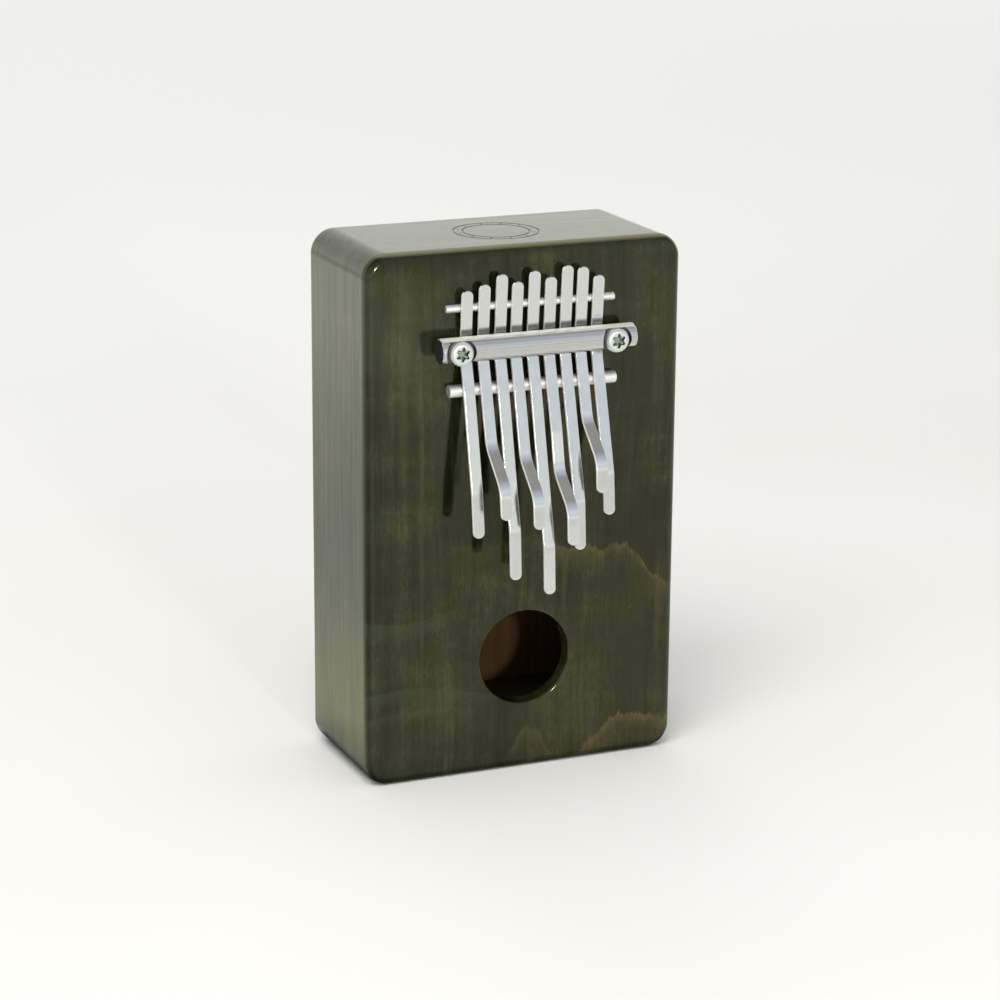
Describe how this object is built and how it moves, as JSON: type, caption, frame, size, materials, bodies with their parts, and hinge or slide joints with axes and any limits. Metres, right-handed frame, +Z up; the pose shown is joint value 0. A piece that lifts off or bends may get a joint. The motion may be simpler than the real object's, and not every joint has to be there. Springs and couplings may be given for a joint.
{
  "type": "mbira",
  "caption": "Box-resonator thumb piano: hollow wooden box with a round sound hole and bent steel tines clamped over two rods by a round screwed bar.",
  "frame": {"origin": "centre of the box's bottom face, with the instrument standing on its lower end", "axes": "+Z up along the tines towards their clamped ends, -Y out of the playing face, +Y out of the back, +X to the right seen from the front"},
  "size_m": [0.106, 0.0728, 0.17],
  "materials": {
    "stained_wood": "dark olive-brown stain under glossy clear lacquer",
    "raw_wood": "unfinished hardwood inside the box",
    "polished_steel": "polished bright bar",
    "rod_steel": "drawn bright wire, satin",
    "spring_steel": "satin flat spring steel with polished ends",
    "zinc_plate": "bright zinc plated"
  },
  "bodies": {
    "case": {"soundboard": "stained_wood", "back_board": "stained_wood", "left_side": "stained_wood", "right_side": "stained_wood", "top_end": "stained_wood", "bottom_end": "stained_wood", "bridge_block": "raw_wood", "front_rod": "rod_steel", "rear_rod": "rod_steel"},
    "clamp": {"clamp_bar": "polished_steel"},
    "screw_left": {"screw_left": "zinc_plate"},
    "screw_right": {"screw_right": "zinc_plate"},
    "tine_1_tail": {"tine_1_tail": "spring_steel"},
    "tine_1_tongue": {"tine_1_tongue": "spring_steel"},
    "tine_2_tail": {"tine_2_tail": "spring_steel"},
    "tine_2_tongue": {"tine_2_tongue": "spring_steel"},
    "tine_3_tail": {"tine_3_tail": "spring_steel"},
    "tine_3_tongue": {"tine_3_tongue": "spring_steel"},
    "tine_4_tail": {"tine_4_tail": "spring_steel"},
    "tine_4_tongue": {"tine_4_tongue": "spring_steel"},
    "tine_5_tail": {"tine_5_tail": "spring_steel"},
    "tine_5_tongue": {"tine_5_tongue": "spring_steel"},
    "tine_6_tail": {"tine_6_tail": "spring_steel"},
    "tine_6_tongue": {"tine_6_tongue": "spring_steel"},
    "tine_7_tail": {"tine_7_tail": "spring_steel"},
    "tine_7_tongue": {"tine_7_tongue": "spring_steel"},
    "tine_8_tail": {"tine_8_tail": "spring_steel"},
    "tine_8_tongue": {"tine_8_tongue": "spring_steel"},
    "tine_9_tail": {"tine_9_tail": "spring_steel"},
    "tine_9_tongue": {"tine_9_tongue": "spring_steel"}
  },
  "joints": [
    {"name": "clamp_lift", "type": "slide", "parent": "case", "child": "clamp", "axis": [0, -1, 0], "range_m": [0, 0.0015]},
    {"name": "screw_left_turn", "type": "hinge", "parent": "clamp", "child": "screw_left", "pos_m": [-0.0255, -0.0337, 0.1399], "axis": [0, -1, 0], "range_deg": [0, 300]},
    {"name": "screw_right_turn", "type": "hinge", "parent": "clamp", "child": "screw_right", "pos_m": [0.02645, -0.0337, 0.1399], "axis": [0, -1, 0], "range_deg": [0, 300]},
    {"name": "tine_1_tune", "type": "slide", "parent": "case", "child": "tine_1_tail", "axis": [0, 0, 1], "range_m": [-0.0007, 0.001]},
    {"name": "tine_1_flex", "type": "hinge", "parent": "tine_1_tail", "child": "tine_1_tongue", "pos_m": [-0.02085, -0.02965, 0.1265], "axis": [1, 0, 0], "range_deg": [-3, 4]},
    {"name": "tine_2_tune", "type": "slide", "parent": "case", "child": "tine_2_tail", "axis": [0, 0, 1], "range_m": [-0.0007, 0.001]},
    {"name": "tine_2_flex", "type": "hinge", "parent": "tine_2_tail", "child": "tine_2_tongue", "pos_m": [-0.01515, -0.02965, 0.1265], "axis": [1, 0, 0], "range_deg": [-3, 4]},
    {"name": "tine_3_tune", "type": "slide", "parent": "case", "child": "tine_3_tail", "axis": [0, 0, 1], "range_m": [-0.0007, 0.001]},
    {"name": "tine_3_flex", "type": "hinge", "parent": "tine_3_tail", "child": "tine_3_tongue", "pos_m": [-0.0095, -0.02965, 0.1265], "axis": [1, 0, 0], "range_deg": [-3, 4]},
    {"name": "tine_4_tune", "type": "slide", "parent": "case", "child": "tine_4_tail", "axis": [0, 0, 1], "range_m": [-0.0007, 0.001]},
    {"name": "tine_4_flex", "type": "hinge", "parent": "tine_4_tail", "child": "tine_4_tongue", "pos_m": [-0.0042, -0.02965, 0.1265], "axis": [1, 0, 0], "range_deg": [-3, 4]},
    {"name": "tine_5_tune", "type": "slide", "parent": "case", "child": "tine_5_tail", "axis": [0, 0, 1], "range_m": [-0.0007, 0.001]},
    {"name": "tine_5_flex", "type": "hinge", "parent": "tine_5_tail", "child": "tine_5_tongue", "pos_m": [0.00135, -0.02965, 0.1265], "axis": [1, 0, 0], "range_deg": [-3, 4]},
    {"name": "tine_6_tune", "type": "slide", "parent": "case", "child": "tine_6_tail", "axis": [0, 0, 1], "range_m": [-0.0007, 0.001]},
    {"name": "tine_6_flex", "type": "hinge", "parent": "tine_6_tail", "child": "tine_6_tongue", "pos_m": [0.0069, -0.02965, 0.1265], "axis": [1, 0, 0], "range_deg": [-3, 4]},
    {"name": "tine_7_tune", "type": "slide", "parent": "case", "child": "tine_7_tail", "axis": [0, 0, 1], "range_m": [-0.0007, 0.001]},
    {"name": "tine_7_flex", "type": "hinge", "parent": "tine_7_tail", "child": "tine_7_tongue", "pos_m": [0.01235, -0.02965, 0.1265], "axis": [1, 0, 0], "range_deg": [-3, 4]},
    {"name": "tine_8_tune", "type": "slide", "parent": "case", "child": "tine_8_tail", "axis": [0, 0, 1], "range_m": [-0.0007, 0.001]},
    {"name": "tine_8_flex", "type": "hinge", "parent": "tine_8_tail", "child": "tine_8_tongue", "pos_m": [0.0176, -0.02965, 0.1265], "axis": [1, 0, 0], "range_deg": [-3, 4]},
    {"name": "tine_9_tune", "type": "slide", "parent": "case", "child": "tine_9_tail", "axis": [0, 0, 1], "range_m": [-0.0007, 0.001]},
    {"name": "tine_9_flex", "type": "hinge", "parent": "tine_9_tail", "child": "tine_9_tongue", "pos_m": [0.02305, -0.02965, 0.1265], "axis": [1, 0, 0], "range_deg": [-3, 4]}
  ],
  "couplings": [
    {"joint": "screw_left_turn", "follows": "clamp_lift", "rad_per_m": 3490.7},
    {"joint": "screw_right_turn", "follows": "clamp_lift", "rad_per_m": 3490.7}
  ]
}
